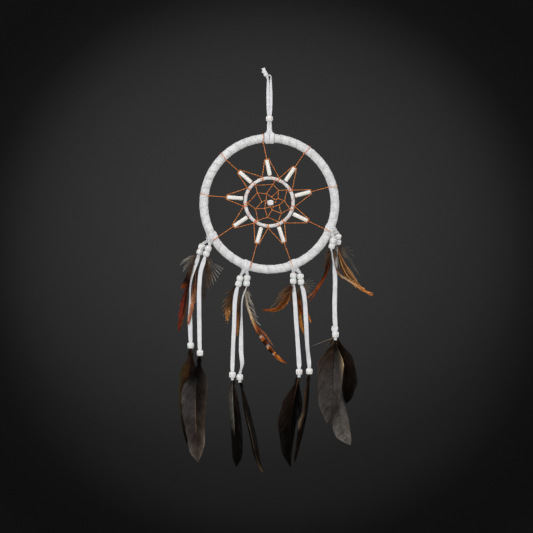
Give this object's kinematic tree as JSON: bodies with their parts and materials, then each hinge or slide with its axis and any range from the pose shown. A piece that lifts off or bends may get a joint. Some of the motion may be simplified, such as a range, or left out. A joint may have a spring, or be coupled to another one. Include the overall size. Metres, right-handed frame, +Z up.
{
  "type": "dream catcher",
  "caption": "Wall-hung dream catcher: a suede-wrapped hoop on a lace loop, a beaded thread star and net inside, and feathers on beaded laces below.",
  "frame": {"origin": "where the hanging loop rests on its hook, at the inside of the loop's top", "axes": "+Z up along the hanging loop, +X to the right seen from the front, +Y to the back, towards the wall"},
  "size_m": [0.221, 0.0156, 0.4618],
  "materials": {
    "white_suede": "matt white suede",
    "ring_wood": "bare wood inside the wrap",
    "ring_wire": "bare wire inside the wrap",
    "waxed_thread": "waxed orange-brown thread",
    "bone": "cream bone, softly polished",
    "white_bead": "white gloss",
    "white_stone": "tumbled white stone",
    "dark_feather": "black-brown with a satin sheen",
    "grey_feather": "grey-brown with barred edges",
    "hackle_feather": "orange-brown with dark tips"
  },
  "bodies": {
    "hanging_loop": {"hanging_loop": "white_suede"},
    "loop_bead": {"loop_bead": "white_bead"},
    "hoop_hitch": {"hoop_hitch": "white_suede"},
    "hoop": {"hoop_ring": "ring_wood", "hoop_wrap": "white_suede", "small_ring": "ring_wire", "small_ring_wrap": "white_suede", "left_tie": "white_suede", "lower_left_tie": "white_suede", "lower_right_tie": "white_suede", "right_tie": "white_suede", "star_thread": "waxed_thread", "net_thread": "waxed_thread"},
    "net_bead": {"net_bead": "white_stone"},
    "tube_bead_1": {"tube_bead_1": "bone"},
    "tube_bead_2": {"tube_bead_2": "bone"},
    "tube_bead_3": {"tube_bead_3": "bone"},
    "tube_bead_4": {"tube_bead_4": "bone"},
    "tube_bead_5": {"tube_bead_5": "bone"},
    "tube_bead_6": {"tube_bead_6": "bone"},
    "tube_bead_7": {"tube_bead_7": "bone"},
    "tube_bead_8": {"tube_bead_8": "bone"},
    "tube_bead_9": {"tube_bead_9": "bone"},
    "left_a_strand": {"left_a_lace": "white_suede", "left_a_top_beads": "white_bead", "left_a_hackle": "hackle_feather"},
    "left_a_feather": {"left_a_low_bead": "white_bead", "left_a_feather": "dark_feather"},
    "left_b_strand": {"left_b_lace": "white_suede", "left_b_top_beads": "white_bead"},
    "left_b_feather": {"left_b_low_bead": "white_bead", "left_b_feather": "grey_feather"},
    "lower_left_a_strand": {"lower_left_a_lace": "white_suede", "lower_left_a_top_beads": "white_bead"},
    "lower_left_a_feather": {"lower_left_a_low_bead": "white_bead", "lower_left_a_feather": "dark_feather"},
    "lower_left_b_strand": {"lower_left_b_lace": "white_suede", "lower_left_b_top_beads": "white_bead", "lower_left_b_hackle": "hackle_feather"},
    "lower_left_b_feather": {"lower_left_b_low_bead": "white_bead", "lower_left_b_feather": "grey_feather"},
    "lower_right_a_strand": {"lower_right_a_lace": "white_suede", "lower_right_a_top_beads": "white_bead", "lower_right_a_hackle": "hackle_feather"},
    "lower_right_a_feather": {"lower_right_a_low_bead": "white_bead", "lower_right_a_feather": "dark_feather"},
    "lower_right_b_strand": {"lower_right_b_lace": "white_suede", "lower_right_b_top_beads": "white_bead"},
    "lower_right_b_feather": {"lower_right_b_low_bead": "white_bead", "lower_right_b_feather": "dark_feather"},
    "right_a_strand": {"right_a_lace": "white_suede", "right_a_top_beads": "white_bead"},
    "right_a_feather": {"right_a_low_bead": "white_bead", "right_a_feather": "grey_feather", "right_a_second_feather": "grey_feather"},
    "right_b_strand": {"right_b_lace": "white_suede", "right_b_top_beads": "white_bead", "right_b_hackle": "hackle_feather"},
    "right_b_feather": {"right_b_low_bead": "white_bead", "right_b_feather": "dark_feather"}
  },
  "joints": [
    {"name": "loop_bead_slide", "type": "slide", "parent": "hanging_loop", "child": "loop_bead", "axis": [0, 0, 1], "range_m": [-0.009, 0.016]},
    {"name": "loop_twist", "type": "hinge", "parent": "hanging_loop", "child": "hoop_hitch", "pos_m": [0, 0, -0.0642], "axis": [0, 0, 1], "range_deg": [-60, 60]},
    {"name": "hoop_tilt", "type": "hinge", "parent": "hoop_hitch", "child": "hoop", "pos_m": [0, 0, -0.0715], "axis": [1, 0, 0], "range_deg": [-30, 30]},
    {"name": "tube_bead_1_spin", "type": "hinge", "parent": "hoop", "child": "tube_bead_1", "pos_m": [-0.00126, 0, -0.10498], "axis": [-0.1953, 0, 0.9807], "continuous": true},
    {"name": "tube_bead_2_spin", "type": "hinge", "parent": "hoop", "child": "tube_bead_2", "pos_m": [0.02374, 0, -0.11271], "axis": [0.5593, 0, 0.829], "continuous": true},
    {"name": "tube_bead_3_spin", "type": "hinge", "parent": "hoop", "child": "tube_bead_3", "pos_m": [0.03853, 0, -0.13503], "axis": [0.9682, 0, 0.25], "continuous": true},
    {"name": "tube_bead_4_spin", "type": "hinge", "parent": "hoop", "child": "tube_bead_4", "pos_m": [0.03564, 0, -0.16214], "axis": [0.902, 0, -0.4318], "continuous": true},
    {"name": "tube_bead_5_spin", "type": "hinge", "parent": "hoop", "child": "tube_bead_5", "pos_m": [0.0138, 0, -0.18196], "axis": [0.3273, 0, -0.9449], "continuous": true},
    {"name": "tube_bead_6_spin", "type": "hinge", "parent": "hoop", "child": "tube_bead_6", "pos_m": [-0.01176, 0, -0.18278], "axis": [-0.2656, 0, -0.9641], "continuous": true},
    {"name": "tube_bead_7_spin", "type": "hinge", "parent": "hoop", "child": "tube_bead_7", "pos_m": [-0.03318, 0, -0.16705], "axis": [-0.8278, 0, -0.561], "continuous": true},
    {"name": "tube_bead_8_spin", "type": "hinge", "parent": "hoop", "child": "tube_bead_8", "pos_m": [-0.03978, 0, -0.13971], "axis": [-0.9969, 0, 0.0788], "continuous": true},
    {"name": "tube_bead_9_spin", "type": "hinge", "parent": "hoop", "child": "tube_bead_9", "pos_m": [-0.02781, 0, -0.11587], "axis": [-0.7451, 0, 0.667], "continuous": true},
    {"name": "net_bead_spin", "type": "hinge", "parent": "hoop", "child": "net_bead", "pos_m": [0.00111, 0, -0.14533], "axis": [0.9964, 0, 0.0844], "continuous": true},
    {"name": "left_a_swing", "type": "hinge", "parent": "hoop", "child": "left_a_strand", "pos_m": [-0.0701, 0.0032, -0.1888], "axis": [1, 0, 0], "range_deg": [-0.4, 30]},
    {"name": "left_b_swing", "type": "hinge", "parent": "hoop", "child": "left_b_strand", "pos_m": [-0.068, -0.0032, -0.1924], "axis": [1, 0, 0], "range_deg": [-30, 0.4]},
    {"name": "lower_left_a_swing", "type": "hinge", "parent": "hoop", "child": "lower_left_a_strand", "pos_m": [-0.0302, 0, -0.2244], "axis": [1, 0, 0], "range_deg": [-30, 30]},
    {"name": "lower_left_b_swing", "type": "hinge", "parent": "hoop", "child": "lower_left_b_strand", "pos_m": [-0.026, 0, -0.2248], "axis": [1, 0, 0], "range_deg": [-30, 30]},
    {"name": "lower_right_a_swing", "type": "hinge", "parent": "hoop", "child": "lower_right_a_strand", "pos_m": [0.0272, 0, -0.2236], "axis": [1, 0, 0], "range_deg": [-30, 30]},
    {"name": "lower_right_b_swing", "type": "hinge", "parent": "hoop", "child": "lower_right_b_strand", "pos_m": [0.0335, 0, -0.2236], "axis": [1, 0, 0], "range_deg": [-30, 30]},
    {"name": "right_a_swing", "type": "hinge", "parent": "hoop", "child": "right_a_strand", "pos_m": [0.0719, -0.0042, -0.1834], "axis": [1, 0, 0], "range_deg": [-30, 0.4]},
    {"name": "right_b_swing", "type": "hinge", "parent": "hoop", "child": "right_b_strand", "pos_m": [0.0776, 0.0038, -0.1796], "axis": [1, 0, 0], "range_deg": [-0.4, 30]},
    {"name": "left_a_feather_swing", "type": "hinge", "parent": "left_a_strand", "child": "left_a_feather", "pos_m": [-0.09, 0.0032, -0.3046], "axis": [1, 0, 0], "range_deg": [-2, 25], "deforming": ["left_a_lace"]},
    {"name": "left_b_feather_swing", "type": "hinge", "parent": "left_b_strand", "child": "left_b_feather", "pos_m": [-0.0793, -0.0032, -0.313], "axis": [1, 0, 0], "range_deg": [-25, 2], "deforming": ["left_b_lace"]},
    {"name": "lower_left_a_feather_swing", "type": "hinge", "parent": "lower_left_a_strand", "child": "lower_left_a_feather", "pos_m": [-0.0423, 0, -0.3381], "axis": [1, 0, 0], "range_deg": [-25, 25], "deforming": ["lower_left_a_lace"]},
    {"name": "lower_left_b_feather_swing", "type": "hinge", "parent": "lower_left_b_strand", "child": "lower_left_b_feather", "pos_m": [-0.0339, 0, -0.3409], "axis": [1, 0, 0], "range_deg": [-25, 25], "deforming": ["lower_left_b_lace"]},
    {"name": "lower_right_a_feather_swing", "type": "hinge", "parent": "lower_right_a_strand", "child": "lower_right_a_feather", "pos_m": [0.034, 0, -0.3348], "axis": [1, 0, 0], "range_deg": [-25, 25], "deforming": ["lower_right_a_lace"]},
    {"name": "lower_right_b_feather_swing", "type": "hinge", "parent": "lower_right_b_strand", "child": "lower_right_b_feather", "pos_m": [0.0456, 0, -0.3341], "axis": [1, 0, 0], "range_deg": [-25, 25], "deforming": ["lower_right_b_lace"]},
    {"name": "right_a_feather_swing", "type": "hinge", "parent": "right_a_strand", "child": "right_a_feather", "pos_m": [0.0755, -0.0042, -0.2921], "axis": [1, 0, 0], "range_deg": [-25, 1], "deforming": ["right_a_lace"]},
    {"name": "right_b_feather_swing", "type": "hinge", "parent": "right_b_strand", "child": "right_b_feather", "pos_m": [0.0749, 0.0038, -0.2858], "axis": [1, 0, 0], "range_deg": [-1, 25], "deforming": ["right_b_lace"]}
  ]
}
